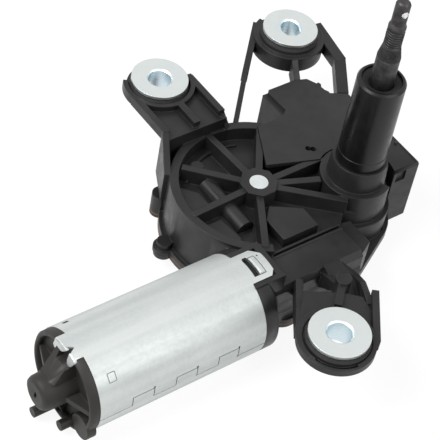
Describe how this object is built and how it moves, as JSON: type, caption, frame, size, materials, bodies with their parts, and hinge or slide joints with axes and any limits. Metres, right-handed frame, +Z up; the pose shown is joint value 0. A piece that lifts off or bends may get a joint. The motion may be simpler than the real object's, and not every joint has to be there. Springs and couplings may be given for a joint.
{
  "type": "wiper motor",
  "caption": "Rear window wiper motor: geared motor with a crank-driven spindle, a neck, three rubber-mounted fixings and a plug socket.",
  "frame": {"origin": "spindle axis in the plane of the three mounting sleeves' top faces", "axes": "+Z up along the spindle, +X along the motor shaft from the end cap to the gear housing"},
  "size_m": [0.2237, 0.1918, 0.1389],
  "materials": {
    "black_housing": "moulded, fine texture",
    "zinc_steel": "plated",
    "black_rubber": "moulded",
    "brown_gasket": "moulded",
    "plated_sheet": "plated",
    "black_neck": "moulded, fine texture",
    "spindle_steel": "plated",
    "sintered_bronze": "plain",
    "spring_steel": "plated",
    "gear_plastic": "moulded, fine texture",
    "contact_brass": "plain",
    "lamination_steel": "satin",
    "copper_windings": "plain",
    "copper": "plain",
    "black_cap": "moulded, fine texture",
    "ferrite": "fired",
    "brown_plastic": "moulded, fine texture",
    "carbon": "moulded, fine texture",
    "hard_pad": "moulded, fine texture",
    "black_cover": "moulded, fine texture",
    "board_green": "moulded, fine texture",
    "black_connector": "moulded, fine texture"
  },
  "bodies": {
    "housing": {"gear_housing": "black_housing", "sleeve_left": "zinc_steel", "sleeve_front": "zinc_steel", "sleeve_top": "zinc_steel", "grommet_left": "black_rubber", "grommet_front": "black_rubber", "grommet_top": "black_rubber", "lower_washers": "zinc_steel", "cover_gasket": "brown_gasket", "rear_cover": "plated_sheet", "cover_screws": "zinc_steel", "spindle_neck": "black_neck", "spindle_seal": "black_rubber", "spindle_bush_lower": "sintered_bronze", "spindle_bush_upper": "sintered_bronze", "gear_axle": "spindle_steel", "axle_retaining_ring": "spring_steel", "motor_can": "plated_sheet", "end_cap": "black_cap", "field_magnets": "ferrite", "brush_holder": "brown_plastic", "brushes": "carbon", "brush_springs": "spring_steel", "choke_coils": "copper_windings", "rear_bearing": "sintered_bronze", "front_bearing": "sintered_bronze", "worm_end_bush": "sintered_bronze", "thrust_pad": "hard_pad", "electronics_cover": "black_cover", "control_board": "board_green", "contact_springs": "contact_brass", "connector_housing": "black_connector", "connector_pins": "contact_brass"},
    "armature": {"armature_shaft": "spindle_steel", "armature_core": "lamination_steel", "armature_windings": "copper_windings", "commutator": "copper"},
    "gear": {"worm_gear": "gear_plastic", "contact_ring": "contact_brass", "crank_pin": "spindle_steel"},
    "link": {"connecting_link": "zinc_steel"},
    "spindle": {"spindle": "spindle_steel", "output_lever": "zinc_steel", "lever_pin": "spindle_steel", "spindle_retaining_ring": "spring_steel"}
  },
  "joints": [
    {"name": "armature_spin", "type": "hinge", "parent": "housing", "child": "armature", "pos_m": [0, -0.025, -0.028], "axis": [1, 0, 0], "continuous": true},
    {"name": "gear_spin", "type": "hinge", "parent": "housing", "child": "gear", "pos_m": [-0.0428, 0.0155, 0], "axis": [0, 0, 1], "continuous": true},
    {"name": "link_pivot", "type": "hinge", "parent": "gear", "child": "link", "pos_m": [-0.03529, 0.01381, -0.037], "axis": [0, 0, 1], "continuous": true},
    {"name": "spindle_sweep", "type": "hinge", "parent": "housing", "child": "spindle", "pos_m": [0, 0, 0], "axis": [0, 0, 1], "range_deg": [0, 92.6]}
  ],
  "couplings": [
    {"joint": "gear_spin", "follows": "armature_spin", "ratio": -0.017857},
    {"joint": "link_pivot", "follows": "armature_spin", "ratio": 0.017857}
  ]
}
